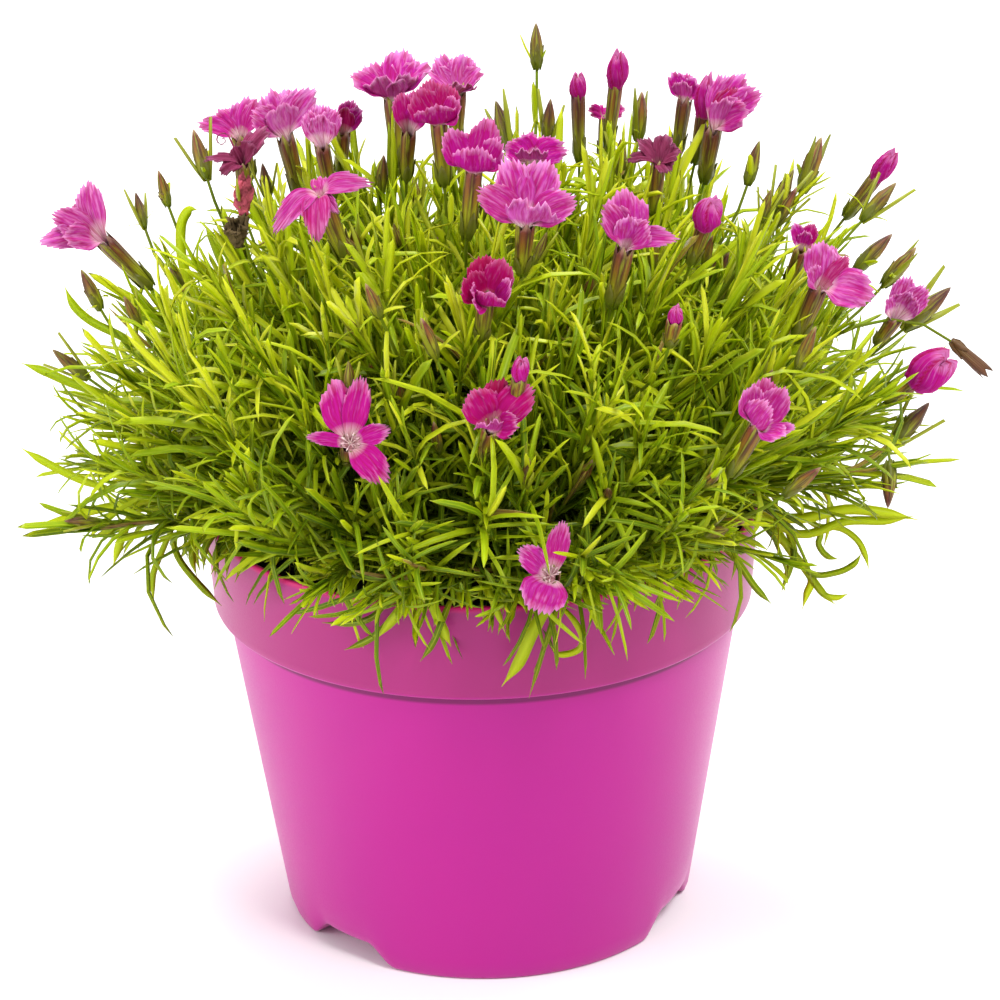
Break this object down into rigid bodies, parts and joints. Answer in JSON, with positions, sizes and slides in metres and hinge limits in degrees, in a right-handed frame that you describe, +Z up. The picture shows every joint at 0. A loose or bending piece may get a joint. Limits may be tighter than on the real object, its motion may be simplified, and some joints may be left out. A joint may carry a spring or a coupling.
{
  "type": "dianthus plant in a nursery pot",
  "caption": "Garden pink in flower: dense mound of narrow leaves with magenta fringed flowers and buds, growing in a round pink plastic pot with a deep collar.",
  "frame": {"origin": "on the pot's axis, in the middle of the flat underside that it stands on", "axes": "+Z up along the pot's axis, -Y to the front, +X to the right seen from the front"},
  "size_m": [0.218, 0.2056, 0.2048],
  "materials": {
    "pot_plastic": "satin moulded polypropylene, slightly translucent",
    "potting_soil": "loose dark peat, matt and crumbly",
    "woody_crown": "matt bark",
    "leaf": "smooth leaf with a soft sheen",
    "stalk_and_calyx": "smooth green calyx flushed purple-brown",
    "petal": "soft velvety petal, paler underneath"
  },
  "bodies": {
    "root": {"pot": "pot_plastic", "potting_soil": "potting_soil", "root_crown": "woody_crown", "leafy_branch_01": "leaf", "leafy_branch_02": "leaf", "leafy_branch_03": "leaf", "leafy_branch_04": "leaf", "leafy_branch_05": "leaf", "leafy_branch_06": "leaf", "leafy_branch_07": "leaf", "leafy_branch_08": "leaf", "leafy_branch_09": "leaf", "leafy_branch_10": "leaf", "leafy_branch_11": "leaf", "leafy_branch_12": "leaf", "leafy_branch_13": "leaf", "flower_stalk_01": "stalk_and_calyx", "flower_stalk_02": "stalk_and_calyx", "flower_stalk_03": "stalk_and_calyx", "flower_stalk_04": "stalk_and_calyx", "flower_stalk_05": "stalk_and_calyx", "flower_stalk_06": "stalk_and_calyx", "flower_stalk_07": "stalk_and_calyx", "flower_stalk_08": "stalk_and_calyx", "flower_stalk_09": "stalk_and_calyx", "flower_stalk_10": "stalk_and_calyx", "flower_stalk_11": "stalk_and_calyx", "flower_stalk_12": "stalk_and_calyx", "flower_stalk_13": "stalk_and_calyx", "flower_stalk_14": "stalk_and_calyx", "flower_stalk_15": "stalk_and_calyx", "flower_stalk_16": "stalk_and_calyx", "flower_stalk_17": "stalk_and_calyx", "flower_stalk_18": "stalk_and_calyx", "flower_stalk_19": "stalk_and_calyx", "flower_stalk_20": "stalk_and_calyx", "flower_stalk_21": "stalk_and_calyx", "flower_stalk_22": "stalk_and_calyx", "corolla_01": "petal", "corolla_02": "petal", "corolla_03": "petal", "corolla_04": "petal", "corolla_05": "petal", "corolla_06": "petal", "corolla_07": "petal", "corolla_08": "petal", "corolla_09": "petal", "corolla_10": "petal", "corolla_11": "petal", "corolla_12": "petal", "corolla_13": "petal", "corolla_14": "petal", "corolla_15": "petal", "corolla_16": "petal", "corolla_17": "petal", "corolla_18": "petal", "corolla_19": "petal", "corolla_20": "petal", "corolla_21": "petal", "corolla_22": "petal"}
  },
  "joints": []
}
